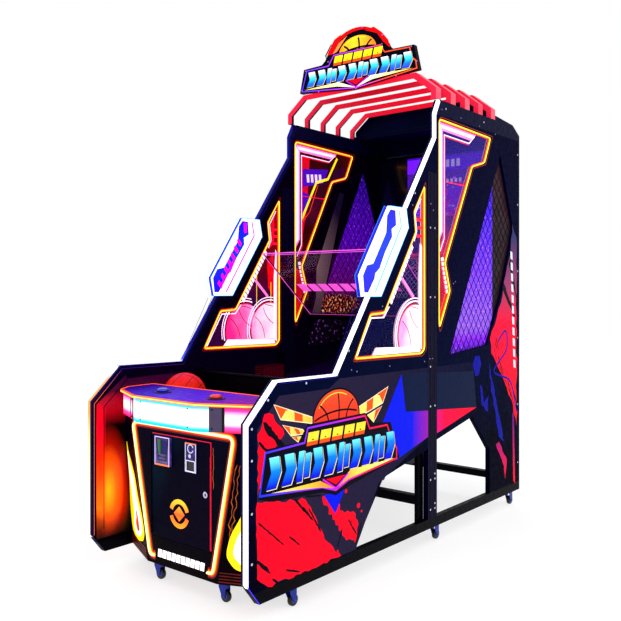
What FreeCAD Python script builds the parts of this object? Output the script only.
import FreeCAD, Part
import math
import os

import Sketcher

# Arcade basketball hoop machine.  Millimetres, +Z up, +Y towards the back of the machine.
# Every outline is written from the middle of the width (x), from the front edge of the
# side boards (y) and from the floor (z).  The machine is then placed with its origin on
# the floor under the middle of its bounding box.

SHEET_VALUES = {
    # overall
    "width": 1000, "depth": 2360, "marquee_top": 2728,
    # steel frame
    "rail_low": 85, "rail_tall": 50, "tube_wall": 2.5, "post_wide": 20, "post_deep": 50,
    "joint_front": 1303, "joint_back": 1390,
    # side boards and the light strip along their front edge
    "board": 28, "strip": 12, "strip_drop": 9, "toe_run": 73, "toe_rise": 92,
    "nose_run": 162, "nose_low": 780, "shelf": 932, "shelf_back": 545, "neck_low": 926,
    "chin_front": 1370, "chin_low": 2065, "chin_high": 2186, "brow_back": 1410, "roof_rest": 2262,
    "seam": 2184,
    # wing lights on the sloping edge
    "wing_mid": 926, "wing_level": 1468,
    # panes, neon and nets in the side boards
    "pane": 6, "neon": 11, "net_thick": 3,
    # roof
    "rib_wide": 50, "rib_tall": 30, "rib_sheet": 3, "rib_pitch": 152.5, "rib_first": 1380, "rib_knee": 2320,
    "rib_shoulder": 380, "rib_top": 2415, "cover_front": 2044,
    # marquee
    "marquee_front": 1374, "marquee_deep": 24, "face_thick": 6,
    # console
    "console_front": 117, "console_top": 715, "console_foot": 220, "console_brow": 330,
    "skin": 3, "deck_low": 820, "deck_thick": 12, "deck_back": 345, "lamp_low": 716,
    # coin door
    "door_half": 188, "door_low": 208, "door_high": 660, "door_skin": 4, "door_gap": 2,
    # start buttons
    "button_apart": 170, "button_from_front": 160, "button_r": 27, "button_travel": 5,
    # balls and ball track
    "ball_r": 105, "ball_x": -362, "ball_y": 457, "track_low": 668, "track_bend": 575,
    "track_end": 2290, "track_high": 930, "track_skin": 4,
    # ball gate
    "gate_y": 640, "gate_z": 868, "gate_r": 9,
    # clear shield
    "shield_thick": 5, "shield_front": 1102, "shield_high": 1491, "shield_back": 1527,
    "shield_low": 1141,
    # back wall, screen and hoop
    "back_skin": 6, "screen_low": 1600, "screen_high": 2140, "screen_half": 455,
    "board_y": 2120, "hoop_r": 165, "hoop_tube": 8, "hoop_z": 1480,
    # casters
    "wheel_r": 25, "wheel_wide": 20, "caster_trail": 20, "axle_r": 4, "king_r": 5,
    # running clearance of pins in holes
    "play": 0.05,
}


class Size:
    """A length that keeps the spreadsheet expression it was worked out from."""

    def __init__(self, value, text):
        self.value = float(value)
        self.text = text

    @staticmethod
    def of(other):
        return other if isinstance(other, Size) else Size(other, f"{other:.10g}")

    def join(self, other, sign, value):
        return Size(value, f"({self.text} {sign} {Size.of(other).text})")

    def __add__(self, other):
        return self.join(other, "+", self.value + Size.of(other).value)

    def __radd__(self, other):
        return Size.of(other) + self

    def __sub__(self, other):
        return self.join(other, "-", self.value - Size.of(other).value)

    def __rsub__(self, other):
        return Size.of(other) - self

    def __mul__(self, other):
        return self.join(other, "*", self.value * Size.of(other).value)

    def __rmul__(self, other):
        return Size.of(other) * self

    def __truediv__(self, other):
        return self.join(other, "/", self.value / Size.of(other).value)

    def __neg__(self):
        return self * -1


doc = FreeCAD.newDocument("HoopMachine")
PARTS = []


def make_sheet():
    """The driving dimensions, and a Size for each of them."""
    sheet = doc.addObject("Spreadsheet::Sheet", "Dims")
    sizes = {}
    for row, (name, value) in enumerate(SHEET_VALUES.items(), start=1):
        sheet.set(f"A{row}", name)
        sheet.set(f"B{row}", str(value))
        sheet.setAlias(f"B{row}", name)
        sizes[name] = Size(value, f"Dims.{name}")
    doc.recompute()
    return sizes


class Dims:
    """The sheet's dimensions as attributes."""


dim = Dims()
dim.__dict__.update(make_sheet())


# ---------------------------------------------------------------- building blocks

def bind(thing, prop, size):
    """Tie a property to the sheet."""
    thing.setExpression(prop, Size.of(size).text)


def place(thing, x=0, y=0, z=0, axis=None, degrees=0):
    """Put an object at x, y, z with its position tied to the sheet."""
    corner = [Size.of(v) for v in (x, y, z)]
    turn = FreeCAD.Rotation(FreeCAD.Vector(*axis), degrees) if axis else FreeCAD.Rotation()
    thing.Placement = FreeCAD.Placement(FreeCAD.Vector(*[c.value for c in corner]), turn)
    for letter, size in zip("xyz", corner):
        bind(thing, f"Placement.Base.{letter}", size)
    return thing


def add_node(thing, label):
    """Name an object as a sub-part."""
    thing.Label = label
    PARTS.append(thing)
    return thing


def node_at_front(thing, label, x=0, y=0, z=0, axis=None, degrees=0):
    """Name a sub-part and shift it from the front-edge frame into the machine's frame."""
    place(thing, x, Size.of(y) - dim.depth / 2, z, axis, degrees)
    return add_node(thing, label)


def origin_plane(body, role):
    return next(f for f in body.Origin.OriginFeatures if f.Role == role)


def pin_point(sketch, index, spot, point):
    """Hold one sketch point at its distance from the sketch's origin."""
    for kind, size, axis_line in (("DistanceX", point[0], -2), ("DistanceY", point[1], -1)):
        size = Size.of(size)
        if abs(size.value) < 1e-9:
            sketch.addConstraint(Sketcher.Constraint("PointOnObject", index, spot, axis_line))
            continue
        number = sketch.addConstraint(Sketcher.Constraint(kind, -1, 1, index, spot, size.value))
        if "Dims" in size.text:
            bind(sketch, f"Constraints[{number}]", size)


def add_outline(sketch, points):
    """A closed polygon whose corners are tied to the sheet."""
    first = sketch.GeometryCount
    count = len(points)
    flat = [FreeCAD.Vector(Size.of(x).value, Size.of(y).value, 0) for x, y in points]
    for i in range(count):
        sketch.addGeometry(Part.LineSegment(flat[i], flat[(i + 1) % count]), False)
    for i in range(count):
        after = first + (i + 1) % count
        sketch.addConstraint(Sketcher.Constraint("Coincident", first + i, 2, after, 1))
    for i, point in enumerate(points):
        pin_point(sketch, first + i, 1, point)


def add_ring(sketch, x, y, radius):
    """A circle whose centre and radius are tied to the sheet."""
    x, y, radius = Size.of(x), Size.of(y), Size.of(radius)
    index = sketch.GeometryCount
    centre = FreeCAD.Vector(x.value, y.value, 0)
    sketch.addGeometry(Part.Circle(centre, FreeCAD.Vector(0, 0, 1), radius.value), False)
    pin_point(sketch, index, 3, (x, y))
    number = sketch.addConstraint(Sketcher.Constraint("Radius", index, radius.value))
    if "Dims" in radius.text:
        bind(sketch, f"Constraints[{number}]", radius)


def add_sketch(body, plane, outlines=(), rings=(), height=0):
    sketch = body.newObject("Sketcher::SketchObject", "Sketch")
    sketch.AttachmentSupport = [(origin_plane(body, plane), "")]
    sketch.MapMode = "FlatFace"
    if Size.of(height).value:
        bind(sketch, "AttachmentOffset.Base.z", height)
    for points in outlines:
        add_outline(sketch, points)
    for x, y, radius in rings:
        add_ring(sketch, x, y, radius)
    return sketch


def pad(body, plane, length, outlines=(), rings=(), height=0):
    """Extrude a sketch.  Pads on the XZ plane run towards +Y."""
    feature = body.newObject("PartDesign::Pad", "Pad")
    feature.Profile = add_sketch(body, plane, outlines, rings, height)
    feature.Reversed = plane == "XZ_Plane"
    bind(feature, "Length", length)
    return feature


def pocket(body, plane, length, outlines=(), rings=(), height=0):
    """Cut a sketch out of the body, in the direction in which pad() would add it."""
    feature = body.newObject("PartDesign::Pocket", "Pocket")
    feature.Profile = add_sketch(body, plane, outlines, rings, height)
    feature.Reversed = plane != "XZ_Plane"
    bind(feature, "Length", length)
    return feature


def new_body(name):
    return doc.addObject("PartDesign::Body", name)


def plate(name, plane, thickness, outline, holes=(), rings=()):
    """One flat piece: an outline with holes, extruded."""
    body = new_body(name)
    pad(body, plane, thickness, [outline, *holes], rings)
    return body


def box(size, corner):
    """A box with its lowest corner at a given place."""
    block = doc.addObject("Part::Box", "Block")
    for prop, value in zip(("Length", "Width", "Height"), size):
        bind(block, prop, value)
    return place(block, *corner)


def cylinder(radius, length, centre, axis=(0, 0, 1)):
    """A cylinder from its foot's centre along X, Y or Z."""
    rod = doc.addObject("Part::Cylinder", "Rod")
    bind(rod, "Radius", radius)
    bind(rod, "Height", length)
    swing = {(0, 0, 1): (None, 0), (1, 0, 0): ((0, 1, 0), 90), (0, 1, 0): ((1, 0, 0), -90)}
    turn_axis, degrees = swing[axis]
    return place(rod, *centre, turn_axis, degrees)


def cut(base, tool):
    result = doc.addObject("Part::Cut", "Cut")
    result.Base = base
    result.Tool = tool
    return result


def fuse(*pieces):
    result = doc.addObject("Part::MultiFuse", "Fuse")
    result.Shapes = list(pieces)
    result.Refine = True
    return result


def group(pieces):
    """Separate solids that share one node."""
    result = doc.addObject("Part::Compound", "Group")
    result.Links = list(pieces)
    return result


def tube(run, size, corner):
    """A square steel tube with open ends, running along x, y or z."""
    wall = dim.tube_wall
    inner_size = [s if letter == run else s - 2 * wall for letter, s in zip("xyz", size)]
    inner_corner = [c if letter == run else c + wall for letter, c in zip("xyz", corner)]
    return cut(box(size, corner), box(inner_size, inner_corner))


def mirrored(points):
    """The same outline on the other side of x = 0."""
    return [(-x, y) for x, y in points]


def both_sides(points):
    """A right-hand chain of points, closed by its mirror image."""
    return list(points) + list(reversed(mirrored(points)))


SIDES = (("left", -1), ("right", 1))


def side_corner(sign, inset, length):
    """The lowest x of a piece of a given length that lies inset from a machine side."""
    if sign > 0:
        return dim.width / 2 - inset - length
    return -dim.width / 2 + inset


# ---------------------------------------------------------------- side profile of the boards

def neck(level):
    """Where the sloping front edge of the boards is at a given height."""
    run = (dim.chin_front - dim.shelf_back) / (dim.chin_low - dim.neck_low)
    return dim.shelf_back + (level - dim.neck_low) * run


def front_edge():
    """The front edge of a side board, from the floor to the roof."""
    return [
        (0, dim.rail_low + dim.toe_rise),
        (0, dim.nose_low),
        (dim.nose_run, dim.shelf),
        (dim.shelf_back, dim.neck_low),
        (dim.chin_front, dim.chin_low),
        (dim.chin_front, dim.chin_high),
        (dim.brow_back, dim.roof_rest),
    ]


def board_edge():
    """The edge of the board itself, behind the light strip."""
    points = [(y + dim.strip, z - dim.strip_drop) for y, z in front_edge()]
    toe = dim.rail_low + dim.toe_rise * (1 - dim.strip / dim.toe_run)
    return [(dim.strip, toe)] + points[1:]


def wing_outline():
    """The six-cornered wing light, the same turned half round about its middle."""
    half = [(-176, -212), (-197, -118), (36, 212)]
    corners = half + [(-y, -z) for y, z in half]
    return [(dim.wing_mid + y, dim.wing_level + z) for y, z in corners]


def front_window():
    return [
        (1280, 1821), (1170, 1670), (1184, 1570), (917, 1188), (805, 1183),
        (677, 973), (1252, 963), (1285, 991),
    ]


def upper_window():
    return [
        (1426, 2172), (2003, 2158), (1923, 1994), (1779, 1955), (1488, 1427),
        (1539, 1281), (1423, 1076), (1408, 1110), (1408, 2150),
    ]


def net_window():
    return [(2105, 2070), (2276, 1654), (2114, 1254), (1940, 977), (1521, 946)]


def shrink(points, amount):
    """An outline moved inwards by a small distance on every edge."""
    count = len(points)
    area = sum(points[i - 1][0] * points[i][1] - points[i][0] * points[i - 1][1]
               for i in range(count))
    inward = 1 if area > 0 else -1
    moved = []
    for i in range(count):
        before, here, after = points[i - 1], points[i], points[(i + 1) % count]
        first = unit_normal(before, here, inward)
        second = unit_normal(here, after, inward)
        share = amount / (1 + first[0] * second[0] + first[1] * second[1])
        moved.append((round(here[0] + share * (first[0] + second[0]), 3),
                      round(here[1] + share * (first[1] + second[1]), 3)))
    return moved


def unit_normal(start, end, inward):
    along = (end[0] - start[0], end[1] - start[1])
    length = math.hypot(*along)
    return (-along[1] / length * inward, along[0] / length * inward)


# ---------------------------------------------------------------- frame

def make_base_frame():
    """Floor rails with toe wedges, the front cross rail with two stubs, and the caster plates."""
    top = dim.rail_low + dim.rail_tall
    inside = dim.width / 2 - dim.board
    cross_y = 252
    pieces = []
    for _, sign in SIDES:
        x = side_corner(sign, 0, dim.board)
        length = dim.depth - dim.toe_run
        pieces.append(tube("y", (dim.board, length, dim.rail_tall), (x, dim.toe_run, dim.rail_low)))
        wedge = plate("ToeWedge", "YZ_Plane", dim.board, [
            (dim.toe_run, dim.rail_low),
            (dim.toe_run, top),
            (dim.toe_run * (1 - dim.rail_tall / dim.toe_rise), top),
        ])
        pieces.append(place(wedge, x))
        pieces.append(tube("y", (40, cross_y - 130, 40), (sign * 206 - 20, 130, dim.rail_low)))
    pieces.append(tube("x", (2 * inside, 40, 40), (-inside, cross_y, dim.rail_low)))
    node_at_front(group(pieces + caster_plates()), "base_frame")


def make_upright_frame():
    """Posts behind the side boards, cross bars, gate bearings and hoop brackets."""
    inside = dim.width / 2 - dim.board
    posts = [
        (300, dim.post_deep, dim.track_low - 30),
        (dim.joint_front - 51, dim.post_deep, 930),
        (dim.depth - 60, 46, dim.seam),
    ]
    pieces = []
    for _, sign in SIDES:
        x = side_corner(sign, dim.board, dim.post_wide)
        for y, run, top in posts:
            pieces.append(tube("z", (dim.post_wide, run, top - dim.rail_low), (x, y, dim.rail_low)))
        pieces.append(gate_bearing(x))
        pieces.append(hoop_bracket(sign))
    between = inside - dim.post_wide
    for y, z, tall in ((1256, 212, 45), (dim.depth - 57, dim.rail_low + dim.rail_tall, 40)):
        pieces.append(tube("x", (2 * between, 40, tall), (-between, y, z)))
    node_at_front(group(pieces), "upright_frame")


def gate_bearing(x):
    """Bearing block of the gate shaft."""
    block = box((dim.post_wide, 40, 40), (x, dim.gate_y - 20, dim.gate_z - 20))
    centre = (x, dim.gate_y, dim.gate_z)
    return cut(block, cylinder(dim.gate_r + dim.play, dim.post_wide, centre, (1, 0, 0)))


def hoop_bracket(sign):
    """Square tube that carries the backboard from the back panel."""
    front = dim.board_y + 8
    back = dim.depth - 6 - dim.back_skin
    return tube("y", (60, back - front, 60), (sign * 200 - 30, front, 1440))


def make_joint_posts():
    """Flat steel posts that cover the seam between the front and the rear module."""
    floor = dim.rail_low + dim.rail_tall
    size = (dim.board, dim.joint_back - dim.joint_front, 1880 - floor)
    posts = [box(size, (side_corner(sign, 0, dim.board), dim.joint_front, floor)) for _, sign in SIDES]
    node_at_front(group(posts), "joint_posts")


# ---------------------------------------------------------------- side boards

def edge_rise():
    """Rise of the sloping front edge for each millimetre of run."""
    return (dim.chin_low - dim.neck_low) / (dim.chin_front - dim.shelf_back)


def behind_strip(level):
    """Where the board starts behind the light strip on the slope, at a given height."""
    return neck(level) + dim.strip + dim.strip_drop / edge_rise()


def joint_top():
    """Height of the slope where the front and the rear board meet."""
    run = dim.joint_front - dim.shelf_back - dim.strip
    return dim.neck_low - dim.strip_drop + run * edge_rise()


def front_board_outline():
    edge = board_edge()
    floor = dim.rail_low + dim.rail_tall
    wing = wing_outline()
    low_wing, back_wing = wing[5], wing[4]
    wing_leaves = 1672
    return [
        *edge[:4],
        (behind_strip(low_wing[1]), low_wing[1]), low_wing, back_wing,
        (behind_strip(wing_leaves), wing_leaves),
        (dim.joint_front, joint_top()), (dim.joint_front, 489),
        (908, 417), (671, floor), (33, floor),
    ]


def rear_board_outline():
    edge = board_edge()
    floor = dim.rail_low + dim.rail_tall
    return [
        (dim.joint_front, joint_top()), edge[4], edge[5], (edge[5][0] + 4, dim.seam),
        (dim.depth, dim.seam), (dim.depth, floor), (1973, floor), (1973, 385), (1769, 595),
        (dim.joint_back, 524), (dim.joint_back, 1880), (dim.joint_front, 1880),
    ]


def make_side_boards():
    for name, sign in SIDES:
        x = side_corner(sign, 0, dim.board)
        front = plate("FrontBoard", "YZ_Plane", dim.board, front_board_outline(), [front_window()])
        node_at_front(front, f"front_board_{name}", x)
        rear = plate("RearBoard", "YZ_Plane", dim.board, rear_board_outline(),
                     [upper_window(), net_window()])
        node_at_front(rear, f"rear_board_{name}", x)


def roof_rail(sign):
    """Board above the seam, on which the roof ribs stand."""
    rear = dim.depth - 20
    front = dim.brow_back + dim.strip + 2
    rail = plate("RoofRail", "YZ_Plane", dim.board, [
        (dim.chin_front + dim.strip + 6, dim.seam), (front, dim.roof_rest - dim.strip_drop),
        (front, dim.roof_rest), (rear - 78, dim.roof_rest), (rear, 2215), (rear, dim.seam),
    ])
    return place(rail, side_corner(sign, 0, dim.board))


def make_edge_lights():
    """Light strips along the front edge of both boards, broken at the wing lights."""
    outer = front_edge()
    inner = board_edge()
    low, high = wing_outline()[0][1], wing_outline()[3][1]
    lower = [*outer[:4], (neck(low), low), (behind_strip(low), low), *reversed(inner[:4])]
    upper = [(neck(high), high), *outer[4:], *reversed(inner[4:]), (behind_strip(high), high)]
    pieces = []
    for _, sign in SIDES:
        x = side_corner(sign, 0, dim.board)
        pieces += [place(plate("Strip", "YZ_Plane", dim.board, run), x) for run in (lower, upper)]
    node_at_front(group(pieces), "edge_lights")


def make_wing_lights():
    """Six-cornered light boxes let into the sloping edge of the boards."""
    thick = dim.board + 4
    wings = [place(plate("Wing", "YZ_Plane", thick, wing_outline()), side_corner(sign, 0, thick))
             for _, sign in SIDES]
    node_at_front(group(wings), "wing_lights")


def make_windows():
    """Clear panes in the middle of the board's thickness, two on each side."""
    panes = []
    for _, sign in SIDES:
        for outline in (front_window(), upper_window()):
            pane = plate("Pane", "YZ_Plane", dim.pane, shrink(outline, 0.5))
            panes.append(place(pane, side_corner(sign, 11, dim.pane)))
    node_at_front(group(panes), "windows")


def make_window_neon():
    """Neon tubes just inside each window, on the outside and on the inside of the pane."""
    tube_size = dim.neon
    pieces = []
    for _, sign in SIDES:
        for inset in (0, 17):
            x = side_corner(sign, inset, tube_size)
            for outline in (front_window(), upper_window()):
                ring = plate("NeonRing", "YZ_Plane", tube_size, shrink(outline, 1),
                             [shrink(outline, 12)])
                pieces.append(place(ring, x))
    node_at_front(group(pieces), "window_neon")


def make_side_nets():
    pieces = []
    for _, sign in SIDES:
        net = plate("Net", "YZ_Plane", dim.net_thick, shrink(net_window(), 0.5))
        pieces.append(place(net, side_corner(sign, 12, dim.net_thick)))
    node_at_front(group(pieces), "side_nets")


# ---------------------------------------------------------------- roof and marquee

def rib_outline(side_wall, bend, top_wall):
    """A rib in its own plane: legs, chamfers and a flat top, with the given walls."""
    half = dim.width / 2
    outer = [(half, dim.roof_rest), (half, dim.rib_knee), (dim.rib_shoulder, dim.rib_top)]
    inner = [(half - side_wall, dim.roof_rest), (half - side_wall, dim.rib_knee - bend),
             (dim.rib_shoulder - bend, dim.rib_top - top_wall)]
    return outer + mirrored(reversed(outer)) + mirrored(inner) + list(reversed(inner))


def make_roof_ribs():
    """Five ribs of bent angle sheet on the roof rails: a front flange and an outer flange."""
    ribs = []
    sheet = dim.rib_sheet
    for index in range(5):
        front = plate("RibFront", "XZ_Plane", sheet, rib_outline(30, 14, dim.rib_tall))
        skin = plate("RibSkin", "XZ_Plane", dim.rib_wide, rib_outline(sheet, 1, sheet))
        ribs.append(place(fuse(front, skin), 0, dim.rib_first + index * dim.rib_pitch))
    node_at_front(group(ribs), "roof_ribs")


def make_roof_cover():
    """Roof rails, the sheet cover over the rear and a bulkhead behind the last rib."""
    front, back = dim.cover_front, dim.depth
    cover = place(plate("CoverSkin", "YZ_Plane", dim.width, [
        (front, 2287), (2270, 2268), (back, 2216), (back, dim.seam),
        (back - 20, dim.seam), (back - 20, 2215), (back - 98, dim.roof_rest),
        (front, dim.roof_rest),
    ]), -dim.width / 2)
    corner = [(494, dim.roof_rest + 26), (494, dim.rib_knee - 3), (dim.rib_shoulder - 3, dim.rib_top - 6)]
    bulkhead = plate("Bulkhead", "XZ_Plane", 6, corner + mirrored(reversed(corner)))
    place(bulkhead, 0, front)
    rails = [roof_rail(sign) for _, sign in SIDES]
    node_at_front(group([cover, bulkhead, *rails]), "roof_cover")


def marquee_top_edge():
    """Right shoulder, dome and left shoulder of the banner."""
    arch = []
    steps = 8
    for step in range(steps + 1):
        angle = math.radians(22 + (158 - 22) * step / steps)
        arch.append((round(232 * math.cos(angle), 2),
                     dim.marquee_top - 232 + round(232 * math.sin(angle), 2)))
    return [(402, 2426), (372, 2560), (240, 2563), *arch, (-240, 2563), (-372, 2560), (-402, 2426)]


def make_marquee():
    """Light box that stands on the first rib, and a face with a low point in front of it."""
    top_edge = marquee_top_edge()
    house = plate("MarqueeBox", "XZ_Plane", dim.marquee_deep,
                  [(-146, dim.rib_top), (146, dim.rib_top), *top_edge])
    node_at_front(house, "marquee_box", 0, dim.marquee_front + dim.face_thick)
    face = plate("MarqueeFace", "XZ_Plane", dim.face_thick, [(0, 2388), *top_edge])
    node_at_front(face, "marquee_face", 0, dim.marquee_front)


# ---------------------------------------------------------------- console

def console_section(level, foot, back):
    """Console plan at one height: flat front, two facets and an open back."""
    wall = dim.width / 2 - dim.board - 1
    return [(foot, dim.console_front), (wall, level), (wall, back),
            (-wall, back), (-wall, level), (-foot, dim.console_front)]


def make_console_shell():
    """Folded sheet shell with a door opening, a facet on each side and the door's hinge pin."""
    shell = new_body("ConsoleShell")
    back = 250
    tall = dim.console_top - dim.rail_low
    skin = dim.skin
    foot = add_sketch(shell, "XY_Plane", [console_section(230, dim.console_foot, back)])
    brow = add_sketch(shell, "XY_Plane", [console_section(181, dim.console_brow, back)], height=tall)
    outer = shell.newObject("PartDesign::AdditiveLoft", "Outer")
    outer.Profile = foot
    outer.Sections = [brow]
    outer.Ruled = True
    inner_foot = [(x - skin * side, y + skin) for (x, y), side in
                  zip(console_section(230, dim.console_foot, back + 10), (1, 1, 1, -1, -1, -1))]
    inner_brow = [(x - skin * side, y + skin) for (x, y), side in
                  zip(console_section(181, dim.console_brow, back + 10), (1, 1, 1, -1, -1, -1))]
    hollow = shell.newObject("PartDesign::SubtractiveLoft", "Hollow")
    hollow.Profile = add_sketch(shell, "XY_Plane", [inner_foot])
    hollow.Sections = [add_sketch(shell, "XY_Plane", [inner_brow], height=tall)]
    hollow.Ruled = True
    half = dim.door_half + dim.door_gap
    low = dim.door_low - dim.door_gap - dim.rail_low
    high = dim.door_high + dim.door_gap - dim.rail_low
    doorway = [(half, low), (half, high), (-half, high), (-half, low)]
    pocket(shell, "XZ_Plane", dim.console_front + 10, [doorway])
    place(shell, z=dim.rail_low)
    pin = cylinder(2.5, dim.door_high - dim.door_low - 20,
                   (-dim.door_half - 4, dim.console_front - 3.5, dim.door_low + 10))
    node_at_front(group([shell, pin]), "console_shell")


def deck_outline():
    """Deck plan: flat front, long facets, short corners and a straight back."""
    return both_sides([(460, dim.deck_back), (460, 190), (405, 108), (195, 10)])


def make_console_deck():
    deck = new_body("ConsoleDeck")
    holes = [(sign * dim.button_apart, dim.button_from_front, 14 + dim.play) for sign in (-1, 1)]
    pad(deck, "XY_Plane", dim.deck_thick, [deck_outline()], holes)
    node_at_front(deck, "console_deck", z=dim.deck_low)


def make_console_lights():
    """Light box across the front with bent ends, and a lamp on each side of it."""
    tall = dim.deck_low - dim.lamp_low
    front = plate("FrontLamp", "XY_Plane", tall, both_sides([(280, 140), (280, 72), (180, 20)]))
    pieces = [front]
    for _, sign in SIDES:
        lamp = [(sign * x, y) for x, y in ((300, 84), (408, 128), (408, 168), (300, 150))]
        pieces.append(plate("SideLamp", "XY_Plane", tall, lamp))
    for piece in pieces:
        place(piece, z=dim.lamp_low)
    node_at_front(group(pieces), "console_lights")


def make_front_neon():
    """Neon loop on the console front, a trapezoid that is wider at the top."""
    outer = [(205, 114), (330, 702), (-330, 702), (-205, 114)]
    loop = plate("FrontNeon", "XZ_Plane", dim.neon, outer, [shrink(outer, 12)])
    node_at_front(loop, "front_neon", 0, dim.console_front - dim.neon)


# ---------------------------------------------------------------- coin door

def make_coin_door():
    """Flush steel door with a return flange along its lock side."""
    door = new_body("CoinDoor")
    low, high, half = dim.door_low, dim.door_high, dim.door_half
    cuts = [
        [(-150, 531), (-68, 531), (-68, 642), (-150, 642)],
        [(36, 523), (96, 523), (96, 638), (36, 638)],
    ]
    pad(door, "XZ_Plane", dim.door_skin, [[(-half, low), (half, low), (half, high), (-half, high)],
                                          *cuts], [(155, 439, 10 + dim.play)])
    node_at_front(door, "coin_door", 0, dim.console_front)


def make_door_lock():
    """Cam lock: round barrel through the door and a flat cam behind it."""
    front = dim.console_front
    head = cylinder(13, 4, (0, front - 4, 0), (0, 1, 0))
    barrel = cylinder(10, 24, (0, front, 0), (0, 1, 0))
    cam = box((16, 3, 50), (-8, front + 20, -42))
    node_at_front(fuse(head, barrel, cam), "door_lock", 155, 0, 439)


def make_coin_mech():
    """Coin entry: face plate with a slot, a reject button hole and a return cup opening."""
    mech = new_body("CoinMech")
    outline = [(30, 517), (102, 517), (102, 644), (30, 644)]
    slot = [(64, 606), (68, 606), (68, 632), (64, 632)]
    cup = [(42, 525), (90, 525), (90, 565), (42, 565)]
    pad(mech, "XZ_Plane", 4, [outline, slot, cup], [(66, 588, 8 + dim.play)])
    node_at_front(mech, "coin_mech", 0, dim.console_front - 4)


def make_reject_button():
    button = group([cylinder(8, 14, (0, 0, 0), (0, 1, 0))])
    node_at_front(button, "coin_reject_button", 66, dim.console_front - 10, 588)


def make_return_flap():
    """Flap that hangs in the coin return cup."""
    flap = box((47, 2, 38), (0, 0, 0))
    node_at_front(flap, "coin_return_flap", 42.5, dim.console_front - 2.5, 526)


def make_bill_acceptor():
    """Moulded bezel on the door and the reader body behind it."""
    bezel = box((96, 12, 125), (-157, dim.console_front - 12, 524))
    mouth = box((62, 8, 8), (-140, dim.console_front - 13, 560))
    body = box((78, 90, 107), (-148, dim.console_front, 533))
    node_at_front(fuse(cut(bezel, mouth), body), "bill_acceptor")


def make_start_buttons():
    """Domed push buttons whose stems slide in the deck."""
    top = dim.deck_low + dim.deck_thick
    travel = dim.button_travel
    for name, sign in SIDES:
        cap = cylinder(dim.button_r, 8, (0, 0, top + travel + 1))
        stem = cylinder(14, dim.deck_thick + travel + 9, (0, 0, dim.deck_low - 8))
        node_at_front(fuse(cap, stem), f"start_button_{name}", sign * dim.button_apart,
                      dim.button_from_front)


# ---------------------------------------------------------------- ball play area

def make_ball_track():
    """Bent sheet: front wall, flat trough and a ramp that rises to the back wall."""
    skin = dim.track_skin
    wall_top = dim.deck_low - 2
    front = dim.deck_back
    half = dim.width / 2 - dim.board - dim.post_wide - 2
    track = plate("BallTrack", "YZ_Plane", 2 * half, [
        (front + 2, wall_top), (front + 2, dim.track_low), (dim.track_bend, dim.track_low),
        (dim.track_end, dim.track_high), (dim.track_end, dim.track_high + skin),
        (dim.track_bend, dim.track_low + skin), (front + 2 + skin, dim.track_low + skin),
        (front + 2 + skin, wall_top),
    ])
    node_at_front(track, "ball_track", -half)


def make_ball():
    """Hollow rubber ball in the trough, beside the left board."""
    skins = []
    for radius in (dim.ball_r, dim.ball_r - 4):
        sphere = doc.addObject("Part::Sphere", "Ball")
        bind(sphere, "Radius", radius)
        skins.append(sphere)
    level = dim.track_low + dim.track_skin + dim.ball_r + 0.5
    node_at_front(cut(*skins), "basketball", dim.ball_x, dim.ball_y, level)


def make_ball_gate():
    """Gate flap that hangs from a shaft across the track and holds the balls back."""
    shaft = cylinder(dim.gate_r, 930, (-465, 0, 0), (1, 0, 0))
    flap = box((900, 4, 150), (-450, -2, -152))
    node_at_front(fuse(shaft, flap), "ball_gate", 0, dim.gate_y, dim.gate_z)


def make_shield():
    """Clear shield across the play opening, with a rail and end brackets along its foot."""
    thick = dim.shield_thick
    half = dim.width / 2 - dim.board - dim.post_wide - 2
    sheet = plate("Shield", "YZ_Plane", 2 * half, [
        (dim.shield_front, dim.shield_high), (dim.shield_back, dim.shield_low),
        (dim.shield_back + thick, dim.shield_low + thick),
        (dim.shield_front + thick, dim.shield_high + thick),
    ])
    node_at_front(sheet, "clear_shield", -half)
    rail = plate("ShieldRail", "YZ_Plane", 2 * half, [
        (dim.shield_back + 6, dim.shield_low + 5.5), (dim.shield_back + 26, dim.shield_low - 11),
        (dim.shield_back + 12, dim.shield_low - 28), (dim.shield_back - 8, dim.shield_low - 11),
        (dim.shield_back, dim.shield_low - 0.5),
    ])
    node_at_front(rail, "shield_rail", -half)


def make_speakers():
    """Speaker boxes on the inside of both boards, above the track."""
    boxes = [box((60, 180, 90), (side_corner(sign, dim.board, 60), 1068, 775)) for _, sign in SIDES]
    node_at_front(group(boxes), "speakers")


# ---------------------------------------------------------------- back of the machine

def back_face():
    """Where the back panel starts, from the front edge."""
    return dim.depth - dim.back_skin - 6


def make_back_panel():
    """Sheet that closes the back above the floor gap, with a door and an inlet opening."""
    half = dim.width / 2 - dim.board - 1
    low, high = 640, dim.seam - 1
    door = [(-262, 1538), (262, 1538), (262, 2122), (-262, 2122)]
    inlet = [(321, 701), (367, 701), (367, 729), (321, 729)]
    panel = plate("BackPanel", "XZ_Plane", dim.back_skin,
                  [(-half, low), (half, low), (half, high), (-half, high)], [door, inlet])
    node_at_front(panel, "back_panel", 0, back_face())


def make_rear_door():
    """Service door on the back, with a turned grip."""
    leaf = box((520, dim.back_skin, 580), (-260, back_face(), 1540))
    grip = box((16, 5, 90), (-240, back_face() + dim.back_skin, 1785))
    node_at_front(fuse(leaf, grip), "rear_door")


def make_screen():
    half = dim.screen_half
    case = box((2 * half, 38, dim.screen_high - dim.screen_low), (0, 0, 0))
    node_at_front(case, "screen", -half, 2252, dim.screen_low)


def make_backboard():
    node_at_front(box((560, 8, 330), (0, 0, 0)), "backboard", -280, dim.board_y, 1420)


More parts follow.
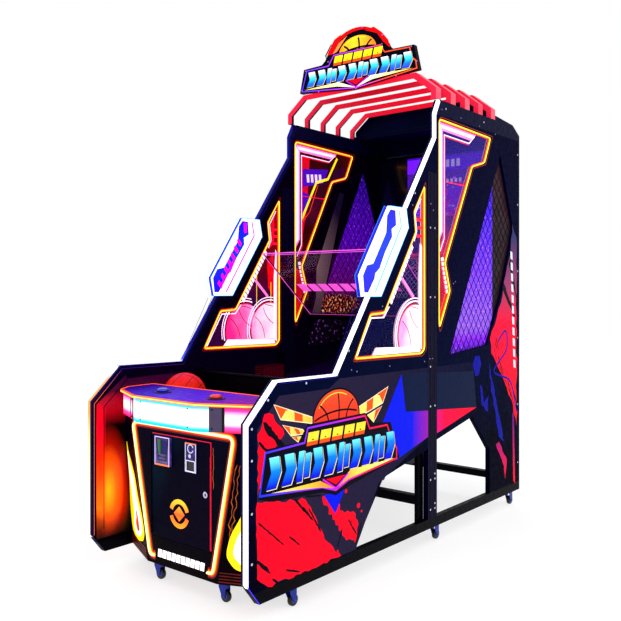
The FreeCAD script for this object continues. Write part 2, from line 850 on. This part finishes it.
def make_hoop():
    """Ring with its arm and foot plate, and the net below it."""
    reach = 60
    centre_y = dim.board_y - reach - dim.hoop_r
    ring = doc.addObject("Part::Torus", "Ring")
    bind(ring, "Radius1", dim.hoop_r)
    bind(ring, "Radius2", dim.hoop_tube)
    place(ring, 0, centre_y, dim.hoop_z)
    arm = box((110, reach, 10), (-55, dim.board_y - reach - 4, dim.hoop_z - 5))
    foot = box((150, 6, 110), (-75, dim.board_y - 6, dim.hoop_z - 70))
    node_at_front(fuse(ring, arm, foot), "hoop_ring")
    tall = 230
    net = cut(cone(95, dim.hoop_r - 9, tall), cone(92, dim.hoop_r - 12, tall))
    node_at_front(net, "hoop_net", 0, centre_y, dim.hoop_z - 12 - tall)


def cone(foot_r, top_r, tall):
    body = doc.addObject("Part::Cone", "Cone")
    bind(body, "Radius1", foot_r)
    bind(body, "Radius2", top_r)
    bind(body, "Height", tall)
    return body


# ---------------------------------------------------------------- inside the machine

def make_electrics():
    """Cash box on the front cross rail, control box on the rear one, and the power inlet."""
    cash = cut(box((200, 150, 120), (60, 255, 125)), box((194, 144, 118), (63, 258, 128)))
    node_at_front(cash, "cash_box")
    node_at_front(box((250, 170, 90), (0, 0, 0)), "control_box", -400, dim.depth - 190, 175)
    flange = box((56, 4, 38), (316, dim.depth - 6, 696))
    socket = box((44, 30, 26), (322, dim.depth - 36, 702))
    node_at_front(fuse(flange, socket), "power_inlet")


# ---------------------------------------------------------------- screws

def screw_places():
    """Screw heads along the board edges: (y, z) pairs in millimetres."""
    places = [(30, z) for z in (250, 440, 640, 760)]
    places += [(1325, z) for z in (180, 330, 700, 900, 1250, 1600)]
    places += [(1368, z) for z in (180, 205, 330, 355, 700, 1250, 1600)]
    places += [(2335, z) for z in (250, 600, 1000, 1400, 1800, 2100)]
    places += [(120, 860), (350, 905), (640, 1020), (1180, 1760), (1480, 2225), (1900, 2225)]
    return places


def make_screws():
    """Low round screw heads let into both outer faces."""
    heads = []
    tall = 1.5
    for _, sign in SIDES:
        for y, z in screw_places():
            heads.append(cylinder(5, tall, (side_corner(sign, -tall, tall), y, z), (1, 0, 0)))
    node_at_front(group(heads), "side_screws")


# ---------------------------------------------------------------- casters

def caster_places():
    """The point that each caster turns about, and its turn at rest; the front pair trails sideways."""
    rows = [(206, 165, -90), (462, 290, 0), (462, 1420, 0), (462, 2285, 0)]
    return [(sign * x, y, turn) for x, y, turn in rows for sign in (-1, 1)]


def caster_plates():
    """Fixed top plates with their king pins."""
    plates = []
    for x, y, _ in caster_places():
        top = dim.rail_low - 3
        flat = box((60, 60, 3), (x - 30, y - 30, top))
        pin = cylinder(dim.king_r, 12, (x, y, top - 12))
        plates.append(fuse(flat, pin))
    return plates


def make_caster(number, x, y, turn):
    """Swivel fork and wheel with its axle."""
    upright = (0, 0, 1)
    top = dim.rail_low - 3.4
    half = dim.wheel_wide / 2 + 3
    crown = cylinder(21, 5, (0, 0, top - 5))
    bridge = box((2 * half + 4, dim.caster_trail + 19, 4), (-half - 2, -10, top - 9))
    cheeks = []
    for sign in (-1, 1):
        inner = half if sign > 0 else -half - 2
        cheek = plate("Cheek", "YZ_Plane", 2, [
            (-10, top - 5), (dim.caster_trail + 9, top - 5), (dim.caster_trail + 9, 18),
            (dim.caster_trail - 9, 18), (-10, top - 22),
        ], rings=[(dim.caster_trail, dim.wheel_r, dim.axle_r + dim.play)])
        cheeks.append(place(cheek, inner))
    fork = cut(fuse(crown, bridge, *cheeks), cylinder(dim.king_r + dim.play, 20, (0, 0, top - 15)))
    node_at_front(fork, f"caster_fork_{number}", x, y, 0, upright, turn)
    tread = cylinder(dim.wheel_r, dim.wheel_wide, (-dim.wheel_wide / 2, 0, 0), (1, 0, 0))
    axle = cylinder(dim.axle_r, 2 * half + 10, (-half - 5, 0, 0), (1, 0, 0))
    aside = -dim.caster_trail * round(math.sin(math.radians(turn)))
    behind = dim.caster_trail * round(math.cos(math.radians(turn)))
    node_at_front(fuse(tread, axle), f"caster_wheel_{number}", x + aside, y + behind, dim.wheel_r,
                  upright, turn)


def make_casters():
    for number, (x, y, turn) in enumerate(caster_places(), start=1):
        make_caster(number, x, y, turn)


# ---------------------------------------------------------------- build and write

def build():
    make_base_frame()
    make_upright_frame()
    make_joint_posts()
    make_side_boards()
    make_edge_lights()
    make_wing_lights()
    make_windows()
    make_window_neon()
    make_side_nets()
    make_roof_ribs()
    make_roof_cover()
    make_marquee()
    make_console_shell()
    make_console_deck()
    make_console_lights()
    make_front_neon()
    make_coin_door()
    make_door_lock()
    make_coin_mech()
    make_reject_button()
    make_return_flap()
    make_bill_acceptor()
    make_start_buttons()
    make_ball_track()
    make_ball()
    make_ball_gate()
    make_shield()
    make_speakers()
    make_back_panel()
    make_rear_door()
    make_screen()
    make_backboard()
    make_hoop()
    make_electrics()
    make_screws()
    make_casters()
    doc.recompute()


def check_document():
    """Stop if any object failed or any sub-part has no valid shape."""
    for thing in doc.Objects:
        if "Invalid" in thing.State or "Error" in thing.State:
            raise RuntimeError(f"{thing.Name} ({thing.Label}) failed: {thing.State}")
    for thing in PARTS:
        if thing.Shape.isNull() or not thing.Shape.isValid():
            raise RuntimeError(f"{thing.Label} has no valid shape")


def write_parts():
    os.makedirs("parts", exist_ok=True)
    for thing in PARTS:
        thing.Shape.exportStep(f"parts/{thing.Label}.step")
        low = thing.Shape.BoundBox
        print(f"{thing.Label}: {len(thing.Shape.Solids)} solid(s), x {low.XMin:.0f} to {low.XMax:.0f},"
              f" y {low.YMin:.0f} to {low.YMax:.0f}, z {low.ZMin:.0f} to {low.ZMax:.0f}")
    print(len(PARTS), "sub-parts")


build()
check_document()
write_parts()
